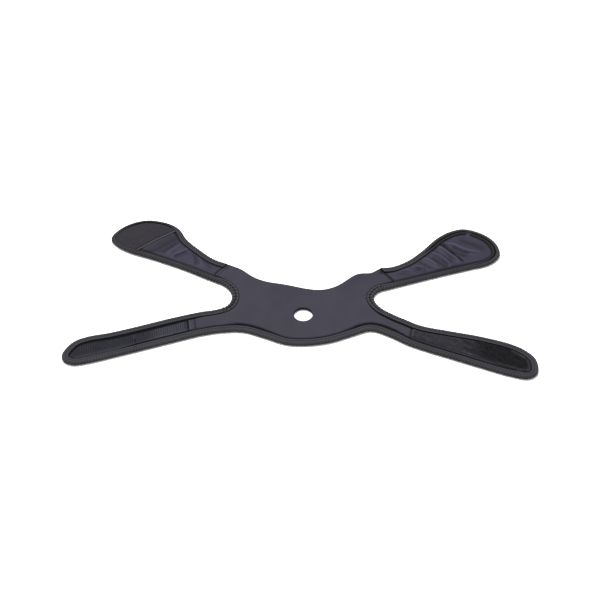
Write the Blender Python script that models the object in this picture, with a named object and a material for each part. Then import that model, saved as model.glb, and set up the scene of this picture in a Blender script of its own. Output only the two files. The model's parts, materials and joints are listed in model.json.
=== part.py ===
"""Four-strap neoprene wrap, lying flat: a centre panel with a round hole, two shaped rear arms that end in
rounded tabs, and two straight front straps that carry hook tape and loop tape.

Plan points are in millimetres from the centre of the hole, +X to the right and +Y to the rear.
The finished part stands on z = 0 with its origin under the middle of its plan box.
"""

import bmesh
import bpy
import numpy as np
from mathutils import Vector

MM = 0.001

# thicknesses, from the surface that the wrap lies on upwards
FABRIC = 0.5
FOAM = 2.6
TAPE = 1.0
GAP = 0.3

# plan sizes
HOLE_RADIUS = 13.0
BINDING_WIDTH = 9.0
LOOP_TAPE_MARGIN = 8.0
LOOP_TAPE_CLOSES = (0.15, 0.45)
SEAM_ALLOWANCE = FABRIC + GAP
TOP_PIECE_INSET = BINDING_WIDTH + GAP
UNDER_PATCH_INSET = BINDING_WIDTH + 4.0

# joints
FOLD_GAP = 0.4
FOLD_AXIS_HEIGHT = 10.0
FOLD_LINE_OVERRUN = 20.0

# mesh fineness
STATION_SPACING = 6.5
CURVE_STEPS = 16
HOLE_SIDES = 32

UNDER_LEAF = (0.0, FABRIC)
BACKING = (UNDER_LEAF[1] + GAP, UNDER_LEAF[1] + GAP + FABRIC)
CORE = (BACKING[1] + GAP, BACKING[1] + GAP + FOAM)
FACE = (CORE[1] + GAP, CORE[1] + GAP + FABRIC)
TOP_LEAF = (FACE[1] + GAP, FACE[1] + GAP + FABRIC)
TOP_PIECE = (FACE[1] + GAP, FACE[1] + GAP + TAPE)

# the bound edge, walked anticlockwise from the rear left corner of the centre panel to its rear right corner
REAR_LEFT_ARM = [
    (-100, 91), (-112, 95), (-130, 103), (-150, 120), (-170, 141), (-181, 160), (-194, 170), (-225, 177),
    (-247, 171), (-266, 157), (-276, 138), (-267, 125), (-250, 114), (-210, 99), (-170, 82), (-130, 62),
]
LEFT_NOTCH = [(-112, 53), (-102, 41), (-99, 26), (-105, 12), (-120, 4)]
FRONT_LEFT_STRAP = [
    (-140, -1), (-180, -15), (-220, -31), (-260, -46), (-290, -55), (-308, -66), (-320, -89), (-317, -100),
    (-304, -106), (-285, -102), (-245, -87), (-205, -71), (-165, -55), (-140, -45),
]
FRONT_EDGE = [(-110, -37), (-80, -35), (-50, -45), (-20, -56), (10, -56), (40, -49), (70, -35), (93, -25.5)]
FRONT_RIGHT_STRAP = [
    (120, -36), (140, -48), (160, -57), (200, -72), (240, -87), (280, -101), (304, -105), (316, -96),
    (315, -71), (300, -54), (280, -43), (240, -31), (200, -23), (160, -14), (140, -4),
]
RIGHT_NOTCH = [(120, 7), (103, 20), (95, 36), (101, 49), (118, 57)]
REAR_RIGHT_ARM = [
    (150, 70), (185, 84), (225, 99), (255, 111), (269, 128), (266, 148), (250, 167), (220, 179),
    (200, 173), (181, 158), (160, 131), (140, 110), (120, 98), (104, 94), (94, 90),
]
BOUND_EDGE = (
    REAR_LEFT_ARM + LEFT_NOTCH + FRONT_LEFT_STRAP + FRONT_EDGE + FRONT_RIGHT_STRAP + RIGHT_NOTCH + REAR_RIGHT_ARM
)

# the raw rear edge of the centre panel, between its two rear corners, from right to left
REAR_EDGE = [
    (91, 82), (70, 76), (45, 57), (30, 50), (15, 48), (-20, 52), (-50, 58), (-70, 68), (-90, 84), (-100, 89),
]

# fold lines, each from its rear end to its front end; the root folds are the seams where the straps begin
FOLDS = {
    "rear_left_root": ((-111, 93), (-134, 61)),
    "rear_left_mid": ((-187, 155), (-231, 119)),
    "front_left_root": ((-154, -15), (-148, -52)),
    "front_left_mid": ((-232, -37), (-218, -79)),
    "front_right_root": ((151, -18), (146, -54)),
    "front_right_mid": ((234, -31), (218, -81)),
    "rear_right_root": ((104, 92), (122, 70)),
    "rear_right_mid": ((187, 148), (219, 113)),
}

# the four limbs in the order of the walk: the inner body, the outer body, and the name that their folds share
LIMBS = [
    ("rear_left_arm", "rear_left_tab", "rear_left"),
    ("front_left_strap", "front_left_tab", "front_left"),
    ("front_right_strap", "front_right_tab", "front_right"),
    ("rear_right_arm", "rear_right_tab", "rear_right"),
]

# the bindings in the order of the walk, with their bodies; each runs from one fold crossing to the next
BINDINGS = [
    ("rear_left_arm", "rear_left_arm_rear_binding"),
    ("rear_left_tab", "rear_left_tab_binding"),
    ("rear_left_arm", "rear_left_arm_front_binding"),
    ("centre_panel", "left_notch_binding"),
    ("front_left_strap", "front_left_strap_rear_binding"),
    ("front_left_tab", "front_left_tab_binding"),
    ("front_left_strap", "front_left_strap_front_binding"),
    ("centre_panel", "front_edge_binding"),
    ("front_right_strap", "front_right_strap_front_binding"),
    ("front_right_tab", "front_right_tab_binding"),
    ("front_right_strap", "front_right_strap_rear_binding"),
    ("centre_panel", "right_notch_binding"),
    ("rear_right_arm", "rear_right_arm_front_binding"),
    ("rear_right_tab", "rear_right_tab_binding"),
    ("rear_right_arm", "rear_right_arm_rear_binding"),
]

# the walk enters each limb over its root fold and mid fold, and leaves it over the same two
CUTS = [
    (f"{corner}_{fold}", crossing)
    for _, _, corner in LIMBS
    for fold, crossing in (("root", 0), ("mid", 0), ("mid", 1), ("root", 1))
]

# materials: linear base colour and roughness
MATERIALS = {
    "neoprene_face": ((0.066, 0.063, 0.082), 0.85),
    "backing_jersey": ((0.045, 0.043, 0.055), 0.9),
    "foam": ((0.018, 0.018, 0.020), 0.95),
    "binding_tape": ((0.050, 0.048, 0.060), 0.75),
    "stretch_fabric": ((0.060, 0.058, 0.082), 0.6),
    "hook_tape": ((0.052, 0.054, 0.062), 0.5),
    "loop_tape": ((0.026, 0.025, 0.029), 0.95),
    "pile_patch": ((0.050, 0.047, 0.056), 0.95),
}


def smooth(points):
    """A fine polyline along the centripetal Catmull-Rom curve through the points."""
    p = np.array(points, float)
    p = np.vstack([2 * p[0] - p[1], p, 2 * p[-1] - p[-2]])
    knots = np.concatenate([[0.0], np.cumsum(np.sqrt(np.linalg.norm(np.diff(p, axis=0), axis=1)))])

    def between(low, high, low_knot, high_knot, t):
        return ((high_knot - t) * low + (t - low_knot) * high) / (high_knot - low_knot)

    spans = []
    for i in range(1, len(p) - 2):
        t = np.linspace(knots[i], knots[i + 1], CURVE_STEPS, endpoint=False)[:, None]
        first = [between(p[k], p[k + 1], knots[k], knots[k + 1], t) for k in (i - 1, i, i + 1)]
        second = [between(first[k], first[k + 1], knots[i - 1 + k], knots[i + 1 + k], t) for k in (0, 1)]
        spans.append(between(second[0], second[1], knots[i], knots[i + 1], t))
    return np.vstack(spans + [p[-2:-1]])


EDGE_CURVE = smooth(BOUND_EDGE)
PLAN_ORIGIN = (EDGE_CURVE.min(axis=0) + EDGE_CURVE.max(axis=0)) / 2


def arc_lengths(curve):
    """How far along a polyline each of its points lies."""
    return np.concatenate([[0.0], np.cumsum(np.linalg.norm(np.diff(curve, axis=0), axis=1))])


def points_at(curve, arcs):
    """The points of a polyline at these distances along it."""
    whole = arc_lengths(curve)
    return np.column_stack([np.interp(arcs, whole, curve[:, axis]) for axis in (0, 1)])


def inset_curve(inset):
    """The bound edge moved towards the fabric, by one distance or by one for each of its points."""
    tangent = np.gradient(EDGE_CURVE, axis=0)
    tangent /= np.linalg.norm(tangent, axis=1)[:, None]
    normal = np.column_stack([-tangent[:, 1], tangent[:, 0]])
    return EDGE_CURVE + normal * np.broadcast_to(inset, len(EDGE_CURVE))[:, None]


def crossing(curve, cut):
    """Where a curve crosses a fold line for the first or the second time, as point index and fraction."""
    fold, which = CUTS[cut]
    rear, front = (np.array(end, float) for end in FOLDS[fold])
    unit = (front - rear) / np.linalg.norm(front - rear)
    length = np.linalg.norm(front - rear) + 2 * FOLD_LINE_OVERRUN
    offset = curve - (rear - unit * FOLD_LINE_OVERRUN)
    along = offset @ unit
    across = offset @ np.array([-unit[1], unit[0]])
    found = [
        i + across[i] / (across[i] - across[i + 1])
        for i in range(len(curve) - 1)
        if 0 < along[i] < length and across[i] * across[i + 1] < 0
    ]
    return found[which]


def arc_at_cut(curve, cut):
    """How far along a curve it crosses a fold line."""
    return np.interp(crossing(curve, cut), np.arange(len(curve)), arc_lengths(curve))


def stretch(index, inset=SEAM_ALLOWANCE):
    """The inset edge along one binding, held back from its two folds by half of FOLD_GAP."""
    outer_length = arc_at_cut(EDGE_CURVE, index + 1) - arc_at_cut(EDGE_CURVE, index)
    count = round(outer_length / STATION_SPACING) + 1
    curve = inset_curve(inset)
    start = arc_at_cut(curve, index) + FOLD_GAP / 2
    end = arc_at_cut(curve, index + 1) - FOLD_GAP / 2
    return points_at(curve, np.linspace(start, end, count))


def rear_corner(cut, step):
    """The centre panel's corner beside a rear root fold, half of FOLD_GAP from it."""
    curve = inset_curve(SEAM_ALLOWANCE)
    return points_at(curve, [arc_at_cut(curve, cut) + step * FOLD_GAP / 2])


def rear_edge():
    """The raw rear edge between the two rear corners, from right to left."""
    last_cut = len(CUTS) - 1
    curve = smooth(np.vstack([rear_corner(last_cut, 1), REAR_EDGE, rear_corner(0, -1)]))
    length = arc_lengths(curve)[-1]
    return points_at(curve, np.linspace(0.0, length, round(length / STATION_SPACING) + 1))


def loop_tape_inset(index):
    """Insets for the loop tape: a margin along the strap's front edge that closes up towards its tip."""
    start, end = (crossing(EDGE_CURVE, cut) for cut in (index, index + 1))
    share = (np.arange(len(EDGE_CURVE)) - start) / (end - start)
    return TOP_PIECE_INSET + LOOP_TAPE_MARGIN * np.interp(share, LOOP_TAPE_CLOSES, (1.0, 0.0))


def hole():
    """The outline of the round hole."""
    angles = np.linspace(0.0, 2 * np.pi, HOLE_SIDES, endpoint=False)
    return HOLE_RADIUS * np.column_stack([np.cos(angles), np.sin(angles)])


def fold_axis(fold):
    """A point on a fold's axis, which runs along the fold line above the fabric."""
    middle = np.mean(FOLDS[fold], axis=0)
    return Vector((*(middle - PLAN_ORIGIN), FOLD_AXIS_HEIGHT)) * MM


def clear_scene():
    """Remove whatever the file holds."""
    for obj in list(bpy.data.objects):
        bpy.data.objects.remove(obj)


def make_materials():
    """One Principled material for each kind of fabric."""
    for name, (colour, roughness) in MATERIALS.items():
        material = bpy.data.materials.new(name)
        material.use_nodes = True
        shader = material.node_tree.nodes["Principled BSDF"]
        shader.inputs["Base Color"].default_value = (*colour, 1.0)
        shader.inputs["Roughness"].default_value = roughness


def make_bodies():
    """An empty for each body, on the axis that it turns about, parented to the body that carries it."""
    bodies = {"centre_panel": bpy.data.objects.new("centre_panel_body", None)}
    for inner, outer, corner in LIMBS:
        for body, fold, carrier in ((inner, "root", "centre_panel"), (outer, "mid", inner)):
            empty = bpy.data.objects.new(f"{body}_body", None)
            empty.parent = bodies[carrier]
            bodies[body] = empty
            carried = fold_axis(f"{corner}_root") if fold == "mid" else Vector()
            empty.location = fold_axis(f"{corner}_{fold}") - carried
    for empty in bodies.values():
        bpy.context.scene.collection.objects.link(empty)
    bpy.context.view_layer.update()
    return bodies


def add_object(mesh_data, name, body, material):
    """Turn plan millimetres into the body's own metres, and make the object."""
    origin = body.matrix_world.translation
    shift = Vector((*PLAN_ORIGIN, 0.0))
    for vert in mesh_data.verts:
        vert.co = (vert.co - shift) * MM - origin
    bmesh.ops.recalc_face_normals(mesh_data, faces=mesh_data.faces)
    mesh = bpy.data.meshes.new(name)
    mesh_data.to_mesh(mesh)
    mesh_data.free()
    mesh.materials.append(bpy.data.materials[material])
    obj = bpy.data.objects.new(name, mesh)
    obj.parent = body
    bpy.context.scene.collection.objects.link(obj)


def add_slab(name, body, loops, heights, material):
    """A flat layer: an outline, with a hole where there is a second loop, from one height to another."""
    low, high = heights
    layer = bmesh.new()
    for loop in loops:
        verts = [layer.verts.new((x, y, low)) for x, y in loop]
        for vert, following in zip(verts, verts[1:] + verts[:1]):
            layer.edges.new((vert, following))
    bmesh.ops.triangle_fill(layer, use_beauty=True, edges=layer.edges)
    raised = bmesh.ops.extrude_face_region(layer, geom=layer.faces)
    top = [item for item in raised["geom"] if isinstance(item, bmesh.types.BMVert)]
    bmesh.ops.translate(layer, verts=top, vec=(0.0, 0.0, high - low))
    add_object(layer, name, body, material)


def add_binding(name, body, index):
    """A tape folded round the edge: a U section swept along one stretch of it."""
    top = TOP_LEAF[1]
    section = [
        (BINDING_WIDTH, 0.0), (0.0, 0.0), (0.0, top), (BINDING_WIDTH, top),
        (BINDING_WIDTH, top - FABRIC), (FABRIC, top - FABRIC), (FABRIC, FABRIC), (BINDING_WIDTH, FABRIC),
    ]
    sides = len(section)
    tape = bmesh.new()
    rows = [
        [tape.verts.new((x, y, height)) for x, y in stretch(index, inset)]
        for inset, height in section
    ]
    for side in range(sides):
        row, following = rows[side], rows[(side + 1) % sides]
        for i in range(len(row) - 1):
            tape.faces.new((row[i], row[i + 1], following[i + 1], following[i]))
    for end in (0, -1):
        for leaf in range(3):
            corners = (leaf, leaf + 1, sides - 2 - leaf, sides - 1 - leaf)
            tape.faces.new([rows[corner][end] for corner in corners])
    add_object(tape, name, body, "binding_tape")


def add_centre_panel(bodies):
    """Three bonded layers with the round hole through them."""
    outline = np.vstack([stretch(3), stretch(7), stretch(11), rear_edge()])
    for name, heights, material in (
        ("centre_panel_backing", BACKING, "backing_jersey"),
        ("centre_panel_foam_core", CORE, "foam"),
        ("centre_panel_face_fabric", FACE, "neoprene_face"),
    ):
        add_slab(name, bodies["centre_panel"], [outline, hole()], heights, material)


def add_limb_layers(bodies):
    """Backing, core and cover for both bodies of each limb."""
    for limb, (inner, outer, corner) in enumerate(LIMBS):
        rear = corner.startswith("rear")
        cover = ("stretch_cover", "stretch_fabric") if rear else ("face_fabric", "neoprene_face")
        first = 4 * limb
        outlines = {
            inner: np.vstack([stretch(first), stretch(first + 2)]),
            outer: stretch(first + 1),
        }
        for body, outline in outlines.items():
            for (piece, material), heights in zip(
                (("backing", "backing_jersey"), ("foam_core", "foam"), cover), (BACKING, CORE, FACE)
            ):
                add_slab(f"{body}_{piece}", bodies[body], [outline], heights, material)


def add_fastening_pieces(bodies):
    """The hook tape, the loop tape, the pile patch, and the hook patch under the other rear tab."""
    margin = TOP_PIECE_INSET + LOOP_TAPE_MARGIN
    for name, body, outline, heights, material in (
        ("hook_tape_inner", "front_left_strap",
         [stretch(4, TOP_PIECE_INSET), stretch(6, TOP_PIECE_INSET)], TOP_PIECE, "hook_tape"),
        ("hook_tape_outer", "front_left_tab", [stretch(5, TOP_PIECE_INSET)], TOP_PIECE, "hook_tape"),
        ("loop_tape_inner", "front_right_strap",
         [stretch(8, margin), stretch(10, TOP_PIECE_INSET)], TOP_PIECE, "loop_tape"),
        ("loop_tape_outer", "front_right_tab", [stretch(9, loop_tape_inset(9))], TOP_PIECE, "loop_tape"),
        ("pile_patch", "rear_left_tab", [stretch(1, TOP_PIECE_INSET)], TOP_PIECE, "pile_patch"),
        ("under_hook_patch", "rear_right_tab", [stretch(13, UNDER_PATCH_INSET)], UNDER_LEAF, "hook_tape"),
    ):
        add_slab(name, bodies[body], [np.vstack(outline)], heights, material)


def main():
    clear_scene()
    make_materials()
    bodies = make_bodies()
    add_centre_panel(bodies)
    add_limb_layers(bodies)
    add_fastening_pieces(bodies)
    for index, (body, name) in enumerate(BINDINGS):
        add_binding(name, bodies[body], index)


if __name__ == "__main__":
    main()
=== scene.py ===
"""The looks of the four-strap neoprene wrap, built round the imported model: cloth, foam, tapes and stitches.

Plan sizes and heights are in millimetres in the model's own frame, and become metres when a mesh is made.
The "walk" is the bound edge, followed anticlockwise from the rear left corner of the centre panel to its rear
right corner. It lies just inside the outer edge of the binding, at the edge of the foam.
"""

import json
import math

import bpy
import numpy as np
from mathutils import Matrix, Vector
from mathutils.geometry import delaunay_2d_cdt
from mathutils.kdtree import KDTree

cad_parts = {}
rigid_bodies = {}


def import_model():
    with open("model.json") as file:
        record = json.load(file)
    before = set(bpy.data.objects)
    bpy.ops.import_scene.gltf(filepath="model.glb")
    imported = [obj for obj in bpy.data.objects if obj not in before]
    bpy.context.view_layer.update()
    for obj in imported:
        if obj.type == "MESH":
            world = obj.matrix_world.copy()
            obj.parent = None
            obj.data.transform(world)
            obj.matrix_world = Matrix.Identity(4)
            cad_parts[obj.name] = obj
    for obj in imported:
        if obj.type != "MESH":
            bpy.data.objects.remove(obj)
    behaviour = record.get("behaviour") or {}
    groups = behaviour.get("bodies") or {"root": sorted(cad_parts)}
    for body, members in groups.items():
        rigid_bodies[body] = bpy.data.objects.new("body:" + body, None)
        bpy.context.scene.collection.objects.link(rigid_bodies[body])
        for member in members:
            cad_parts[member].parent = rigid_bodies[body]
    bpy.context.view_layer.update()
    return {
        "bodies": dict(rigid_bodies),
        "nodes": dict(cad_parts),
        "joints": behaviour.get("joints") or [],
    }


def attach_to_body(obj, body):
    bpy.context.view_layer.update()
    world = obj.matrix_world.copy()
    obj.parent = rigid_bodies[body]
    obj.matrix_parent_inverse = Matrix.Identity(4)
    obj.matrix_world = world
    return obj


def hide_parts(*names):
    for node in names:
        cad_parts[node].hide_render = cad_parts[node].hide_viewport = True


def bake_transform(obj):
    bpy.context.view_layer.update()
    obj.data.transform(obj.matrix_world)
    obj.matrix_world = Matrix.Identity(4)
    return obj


MM = 0.001

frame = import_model()

# the four limbs in the order of the walk: the inner body, the outer body, and the name that their folds share
LIMBS = [
    ("rear_left_arm", "rear_left_tab", "rear_left"),
    ("front_left_strap", "front_left_tab", "front_left"),
    ("front_right_strap", "front_right_tab", "front_right"),
    ("rear_right_arm", "rear_right_tab", "rear_right"),
]

# the bindings in the order of the walk, with their bodies: out along each limb, round its tab, back along its
# other side, and along the centre panel to the next limb
CENTRE_BINDINGS = ["left_notch_binding", "front_edge_binding", "right_notch_binding"]
BINDINGS = []
for limb, (inner, outer, corner) in enumerate(LIMBS):
    way_out, way_back = ("rear", "front") if corner.endswith("left") else ("front", "rear")
    BINDINGS.append((inner, f"{inner}_{way_out}_binding"))
    BINDINGS.append((outer, f"{outer}_binding"))
    BINDINGS.append((inner, f"{inner}_{way_back}_binding"))
    BINDINGS += [("centre_panel", node) for node in CENTRE_BINDINGS[limb:limb + 1]]

# where each body's bindings stand in that list
BODY_STRETCHES = {
    body: [index for index, (owner, _) in enumerate(BINDINGS) if owner == body] for body in frame["bodies"]
}

# the walk enters each limb over its root fold and mid fold, and leaves it over the same two
CUT_FOLDS = [f"{corner}_{fold}_fold" for _, _, corner in LIMBS for fold in ("root", "mid", "mid", "root")]

# from the outer edge of the binding to the walk
SEAM_ALLOWANCE = 0.8

# the CAD outlines' straight edges that are longer than this lie on folds
FOLD_EDGE_LENGTH = 15.0

# the walk's points to each of its stations, those added past its ends, and how near a cut it crosses its fold
STEPS = 13
OVERRUN = 40
CROSSING_REACH = 60

# the least angle in degrees that a mesh's sharp edges turn through
SHARP_ANGLE = 40.0

BINDING_WIDTH = 9.0
FACE_SPACING = 1.2
INNER_SPACING = 3.2
TAPE_SPACING = 1.1
UNDER_SPACING = 1.6
RIPPLE_WAVES = 9


def ease(low, high, value):
    """0 below low, 1 above high, and a smooth step between."""
    t = np.clip((value - low) / (high - low), 0.0, 1.0)
    return t * t * (3 - 2 * t)


def unit(vectors):
    """Vectors at length 1."""
    return vectors / np.linalg.norm(vectors, axis=-1, keepdims=True)


def arc_along(points):
    """The length along a polyline up to each of its points."""
    return np.concatenate([[0.0], np.cumsum(np.linalg.norm(np.diff(points, axis=0), axis=1))])


def node_points(node):
    """A CAD node's vertices, in millimetres."""
    return np.array([vert.co for vert in frame["nodes"][node].data.vertices]) / MM


def outline_loops(node):
    """A flat CAD layer's outlines: the outer one anticlockwise, and then its holes clockwise."""
    mesh = frame["nodes"][node].data
    mesh.calc_loop_triangles()
    points = node_points(node)
    top = points[:, 2].max()
    plan = [tuple(point) for point in np.round(points[:, :2], 2)]
    edges = set()
    for triangle in mesh.loop_triangles:
        a, b, c = triangle.vertices
        if points[[a, b, c], 2].min() > top - 0.01:
            edges |= {(plan[a], plan[b]), (plan[b], plan[c]), (plan[c], plan[a])}
    following = {start: end for start, end in edges if (end, start) not in edges}
    loops = []
    while following:
        loop = [min(following)]
        while (point := following.pop(loop[-1])) != loop[0]:
            loop.append(point)
        loops.append(np.array(loop))
    return sorted(loops, key=lambda loop: -np.ptp(loop[:, 0]))


def sides(loop):
    """An outline cut into its sides at the long straight edges that lie on folds."""
    gaps = np.linalg.norm(np.roll(loop, -1, axis=0) - loop, axis=1)
    cuts = np.nonzero(gaps > FOLD_EDGE_LENGTH)[0]
    turned = np.roll(loop, -cuts[0] - 1, axis=0)
    return np.split(turned, cuts[1:] - cuts[0])


def smooth(points):
    """A fine polyline along the centripetal Catmull-Rom curve through the points, STEPS to each span."""
    p = np.vstack([2 * points[0] - points[1], points, 2 * points[-1] - points[-2]])
    knots = np.concatenate([[0.0], np.cumsum(np.sqrt(np.linalg.norm(np.diff(p, axis=0), axis=1)))])

    def between(low, high, low_knot, high_knot, t):
        return ((high_knot - t) * low + (t - low_knot) * high) / (high_knot - low_knot)

    spans = []
    for i in range(1, len(p) - 2):
        t = np.linspace(knots[i], knots[i + 1], STEPS, endpoint=False)[:, None]
        first = [between(p[k], p[k + 1], knots[k], knots[k + 1], t) for k in (i - 1, i, i + 1)]
        second = [between(first[k], first[k + 1], knots[i - 1 + k], knots[i + 1 + k], t) for k in (0, 1)]
        spans.append(between(second[0], second[1], knots[i], knots[i + 1], t))
    return np.vstack(spans + [p[-2:-1]])


def read_outlines():
    """The walk's stations and where its cuts fall among them, the raw rear edge, and the round hole."""
    loops = {body: outline_loops(f"{body}_foam_core") for body in frame["bodies"]}
    body_sides = {body: sides(found[0]) for body, found in loops.items()}
    stretches = []
    for body, node in BINDINGS:
        near = node_points(node)[:, :2]
        reach = [np.linalg.norm(near - side[len(side) // 2], axis=1).min() for side in body_sides[body]]
        stretches.append(body_sides[body].pop(int(np.argmin(reach))))
    (rear_edge,) = body_sides["centre_panel"]
    stations = [rear_edge[-1]]
    cuts = [0]
    for stretch, following in zip(stretches, stretches[1:] + [[rear_edge[0]]]):
        stations += [*stretch[1:-1], (stretch[-1] + following[0]) / 2]
        cuts.append(len(stations) - 1)
    rear_edge = np.vstack([stations[-1], rear_edge[1:-1], stations[0]])
    return np.array(stations), np.array(cuts), smooth(rear_edge), loops["centre_panel"][1]


STATIONS, STATION_CUTS, REAR_EDGE, HOLE = read_outlines()


def lengthened(curve):
    """The curve with OVERRUN straight steps added at each end, so that a curve beside it can be cut there."""
    steps = np.arange(1, OVERRUN + 1)[:, None]
    before = curve[0] - steps[::-1] * (curve[1] - curve[0])
    after = curve[-1] + steps * (curve[-1] - curve[-2])
    return np.vstack([before, curve, after])


def evened(values, window):
    """A row of values, each averaged with those around it."""
    weights = np.hanning(window)
    return np.convolve(values, weights / weights.sum(), mode="same")


WALK = lengthened(smooth(STATIONS))
WALK_CUTS = OVERRUN + STEPS * STATION_CUTS
WALK_TANGENT = unit(np.gradient(WALK, axis=0))
WALK_NORMAL = np.column_stack([-WALK_TANGENT[:, 1], WALK_TANGENT[:, 0]])
WALK_ARC = arc_along(WALK)
TURN = np.gradient(np.unwrap(np.arctan2(WALK_TANGENT[:, 1], WALK_TANGENT[:, 0]))) / np.gradient(WALK_ARC)
WALK_BEND = evened(TURN, 25)
WALK_INDEX = np.arange(len(WALK))
WALK_SHARE = np.interp(WALK_INDEX, WALK_CUTS, np.arange(len(WALK_CUTS)))

# 1 round the tips of the two deep notches, which lie half way between cuts 3 and 4, and 11 and 12
NOTCH = ease(0.012, 0.034, -WALK_BEND) * (np.abs(WALK_SHARE % 8 - 3.5) < 0.7)

HOLE_CENTRE = HOLE.mean(axis=0)
HOLE_RADIUS = np.linalg.norm(HOLE - HOLE_CENTRE, axis=1).mean()
JOINTS = {joint["name"]: joint for joint in frame["joints"]}


def fold_side(points, name):
    """How far plan points lie to the left of a fold's axis, or to its right where that is negative."""
    joint = JOINTS[name]
    across = np.array([-joint["axis"][1], joint["axis"][0]])
    return (points[:, :2] - np.array(joint["pos_m"][:2]) / MM) @ across


def fold_distance(points, name):
    """The distance of plan points from a fold's axis."""
    return np.abs(fold_side(points, name))


def inset_curve(inset):
    """The curve beside the walk, at one distance from the outer edge or at one for each of its points."""
    return WALK + WALK_NORMAL * np.broadcast_to(inset - SEAM_ALLOWANCE, len(WALK))[:, None]


def crossing(curve, cut):
    """Where a curve beside the walk crosses a cut's fold line, as a fractional index."""
    middle = WALK_CUTS[cut]
    near = WALK_INDEX[max(middle - CROSSING_REACH, 0):middle + CROSSING_REACH]
    across = fold_side(curve[near], CUT_FOLDS[cut])
    flips = np.nonzero(across[:-1] * across[1:] <= 0)[0]
    i = flips[np.argmin(np.abs(near[flips] - middle))]
    return near[i] + across[i] / (across[i] - across[i + 1])


def strip(index, inset, height, count):
    """Points along a stretch of the walk, from fold to fold, at an inset and a height that may vary."""
    curve = inset_curve(inset)
    where = np.linspace(crossing(curve, index), crossing(curve, index + 1), count)
    tracks = (*curve.T, np.broadcast_to(height, len(WALK)))
    return np.column_stack([np.interp(where, WALK_INDEX, track) for track in tracks])


def along_walk(pairs):
    """A value for every point of the walk, from values at some of its cuts or at shares between them."""
    places = [np.interp(cut, np.arange(len(WALK_CUTS)), WALK_CUTS) for cut, _ in pairs]
    return np.interp(WALK_INDEX, places, [value for _, value in pairs])


def stretch_length(index):
    """The length of one stretch of the walk, from fold to fold."""
    start, end = np.interp([crossing(WALK, cut) for cut in (index, index + 1)], WALK_INDEX, WALK_ARC)
    return end - start


def side(index, inset, spacing=FACE_SPACING):
    """The plan points along one stretch at an inset and a steady spacing."""
    return strip(index, inset, 0.0, round(stretch_length(index) / spacing) + 1)[:, :2]


def tree_of(points):
    """A KD tree over plan points."""
    tree = KDTree(len(points))
    for i, (x, y) in enumerate(points):
        tree.insert((x, y, 0.0), i)
    tree.balance()
    return tree


def distances(points, tree):
    """The distance from each plan point to the nearest point of a tree, and that point's index."""
    found = [tree.find((x, y, 0.0))[1:] for x, y in points[:, :2]]
    return np.array([gap for _, gap in found]), np.array([index for index, _ in found])


EDGE_TREE = tree_of(WALK[OVERRUN:-OVERRUN])
CENTRE_TREE = tree_of(WALK[WALK_CUTS[3]:WALK_CUTS[12]])
REAR_TREE = tree_of(REAR_EDGE)


def nearest_walk(points, body=None):
    """How far plan points lie inside the outer edge of the binding, and the nearest point of the walk.

    The rear arms' bindings end at the centre panel's rear corners, so they don't count for its own cloth.
    """
    tree, first = (CENTRE_TREE, WALK_CUTS[3]) if body == "centre_panel" else (EDGE_TREE, OVERRUN)
    gap, index = distances(points, tree)
    return gap + SEAM_ALLOWANCE, index + first


def ripple(points, length, seed):
    """Smooth noise between about -1 and 1: plane waves of roughly one length in scattered directions."""
    draw = np.random.default_rng(seed)
    angles = draw.uniform(0, 2 * np.pi, RIPPLE_WAVES)
    lengths = length * draw.uniform(0.7, 1.6, RIPPLE_WAVES)
    phases = draw.uniform(0, 2 * np.pi, RIPPLE_WAVES)
    waves = np.column_stack([np.cos(angles), np.sin(angles)]) * (2 * np.pi / lengths)[:, None]
    return np.cos(points[:, :2] @ waves.T + phases).sum(axis=1) / np.sqrt(2 * RIPPLE_WAVES)


def hump(points, centre, along, lengths):
    """A smooth mound at a plan point: its half-lengths along a direction and across it."""
    direction = unit(np.array(along))
    offset = points[:, :2] - np.array(centre)
    u = offset @ direction / lengths[0]
    v = offset @ np.array([-direction[1], direction[0]]) / lengths[1]
    return np.exp(-u * u - v * v)


# where the wrap rises off the surface that it lies on: plan centre, direction, half-lengths, height
LIFTS = [
    ((78, 46), (1, 0.62), (30, 13), 5.0),
    ((-31, 19), (1, -0.15), (30, 15), 3.6),
    ((-226, 103), (1, 0.2), (34, 22), 2.4),
    ((225, 105), (1, 0.3), (30, 22), 1.6),
    ((150, 62), (1, 0.8), (40, 14), 1.0),
    ((-150, 70), (1, -0.8), (40, 14), 1.0),
]


def lift(points):
    """How far the whole wrap rises off the surface at plan points."""
    return sum(hump(points, centre, along, lengths) * height for centre, along, lengths, height in LIFTS)


def filled(loops, spacing, rows=(), lattice_from=0.0):
    """A triangle mesh inside plan outlines, with extra rows of points and a lattice from an inset inwards."""
    outline = np.vstack(loops)
    outline_tree = tree_of(outline)
    low, high = outline.min(axis=0), outline.max(axis=0)
    xs = np.arange(low[0], high[0], spacing)
    ys = np.arange(low[1], high[1], spacing * math.sqrt(0.75))
    lattice = np.array([(x + spacing / 2 * (row % 2), y) for row, y in enumerate(ys) for x in xs])
    lattice = lattice[inside(lattice, loops)]
    if lattice_from:
        lattice = lattice[nearest_walk(lattice)[0] > lattice_from]
    extra = np.vstack([lattice, *rows])
    extra = extra[inside(extra, loops)]
    extra = extra[distances(extra, outline_tree)[0] > spacing * 0.55]
    edges = []
    first = 0
    for loop in loops:
        ring = np.arange(first, first + len(loop))
        edges += list(zip(ring.tolist(), np.roll(ring, -1).tolist()))
        first += len(loop)
    verts = [Vector(point) for point in np.vstack([outline, extra]).tolist()]
    found, _, triangles, *_ = delaunay_2d_cdt(verts, edges, [], 0, 1e-5)
    plan = np.array([tuple(point) for point in found])
    triangles = np.array(triangles)
    triangles = triangles[inside(plan[triangles].mean(axis=1), loops)]
    return plan, triangles


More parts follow.
